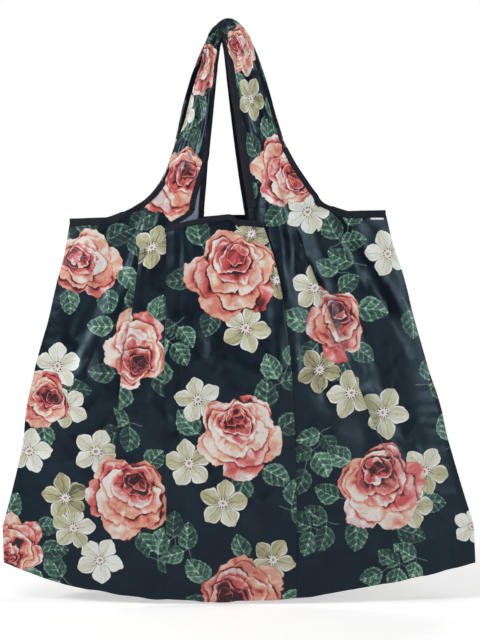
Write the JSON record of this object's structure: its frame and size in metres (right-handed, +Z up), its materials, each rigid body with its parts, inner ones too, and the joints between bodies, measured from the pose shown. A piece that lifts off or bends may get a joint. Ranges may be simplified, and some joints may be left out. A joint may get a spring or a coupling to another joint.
{
  "type": "foldable tote bag",
  "caption": "Foldable printed-polyester tote bag hanging open, with pleated front and back, wide tapering strap handles, bound edges and an inner storage pouch with a press-stud flap.",
  "frame": {"origin": "directly below the lowest point of the bottom seam, midway between the front and back cloths", "axes": "+X to the right as seen from the front, -Y out of the front, +Z up along the hanging bag"},
  "size_m": [0.5602, 0.0598, 0.7014],
  "materials": {
    "printed_polyester": "thin woven polyester, navy ground with roses, pale blossoms and green leaves, slight sheen",
    "bias_tape": "dark navy polyester tape, top-stitched",
    "woven_label": "blank white woven ribbon",
    "press_stud": "moulded navy acetal"
  },
  "bodies": {
    "body": {"front_centre_panel": "printed_polyester", "front_left_side_panel": "printed_polyester", "front_left_pleat": "printed_polyester", "front_left_shoulder_binding": "bias_tape", "front_right_side_panel": "printed_polyester", "front_right_pleat": "printed_polyester", "front_right_shoulder_binding": "bias_tape", "front_mouth_binding": "bias_tape", "back_centre_panel": "printed_polyester", "back_left_side_panel": "printed_polyester", "back_left_pleat": "printed_polyester", "back_left_shoulder_binding": "bias_tape", "back_right_side_panel": "printed_polyester", "back_right_pleat": "printed_polyester", "back_right_shoulder_binding": "bias_tape", "back_mouth_binding": "bias_tape", "centre_bottom_seam": "bias_tape", "storage_pouch": "printed_polyester", "pouch_hanger_tape": "bias_tape", "snap_stud": "press_stud", "snap_post": "press_stud"},
    "left_wing": {"front_left_wing_panel": "printed_polyester", "front_left_wing_binding": "bias_tape", "back_left_wing_panel": "printed_polyester", "back_left_wing_binding": "bias_tape", "left_side_seam": "bias_tape", "left_bottom_seam": "bias_tape"},
    "right_wing": {"front_right_wing_panel": "printed_polyester", "front_right_wing_binding": "bias_tape", "back_right_wing_panel": "printed_polyester", "back_right_wing_binding": "bias_tape", "right_side_seam": "bias_tape", "right_bottom_seam": "bias_tape", "care_label": "woven_label"},
    "front_handle": {"front_left_strap": "printed_polyester", "front_left_inner_binding": "bias_tape", "front_left_outer_binding": "bias_tape", "front_right_strap": "printed_polyester", "front_right_inner_binding": "bias_tape", "front_right_outer_binding": "bias_tape", "front_handle_join": "bias_tape"},
    "back_handle": {"back_left_strap": "printed_polyester", "back_left_inner_binding": "bias_tape", "back_left_outer_binding": "bias_tape", "back_right_strap": "printed_polyester", "back_right_inner_binding": "bias_tape", "back_right_outer_binding": "bias_tape", "back_handle_join": "bias_tape"},
    "pouch_flap": {"pouch_flap": "printed_polyester", "snap_cap": "press_stud", "snap_socket": "press_stud"}
  },
  "joints": [
    {"name": "front_handle_fold", "type": "hinge", "parent": "body", "child": "front_handle", "pos_m": [0, -0.03, 0.491], "axis": [1, 0, 0], "range_deg": [0, 150]},
    {"name": "back_handle_fold", "type": "hinge", "parent": "body", "child": "back_handle", "pos_m": [0, 0.03, 0.491], "axis": [-1, 0, 0], "range_deg": [0, 150]},
    {"name": "left_wing_fold", "type": "hinge", "parent": "body", "child": "left_wing", "pos_m": [-0.144, -0.019, 0], "axis": [0, 0, 1], "range_deg": [0, 175]},
    {"name": "right_wing_fold", "type": "hinge", "parent": "body", "child": "right_wing", "pos_m": [0.144, -0.019, 0], "axis": [0, 0, -1], "range_deg": [0, 175]},
    {"name": "pouch_flap_open", "type": "hinge", "parent": "body", "child": "pouch_flap", "pos_m": [0, 0.0186, 0.4424], "axis": [-1, 0, 0], "range_deg": [0, 150]}
  ]
}
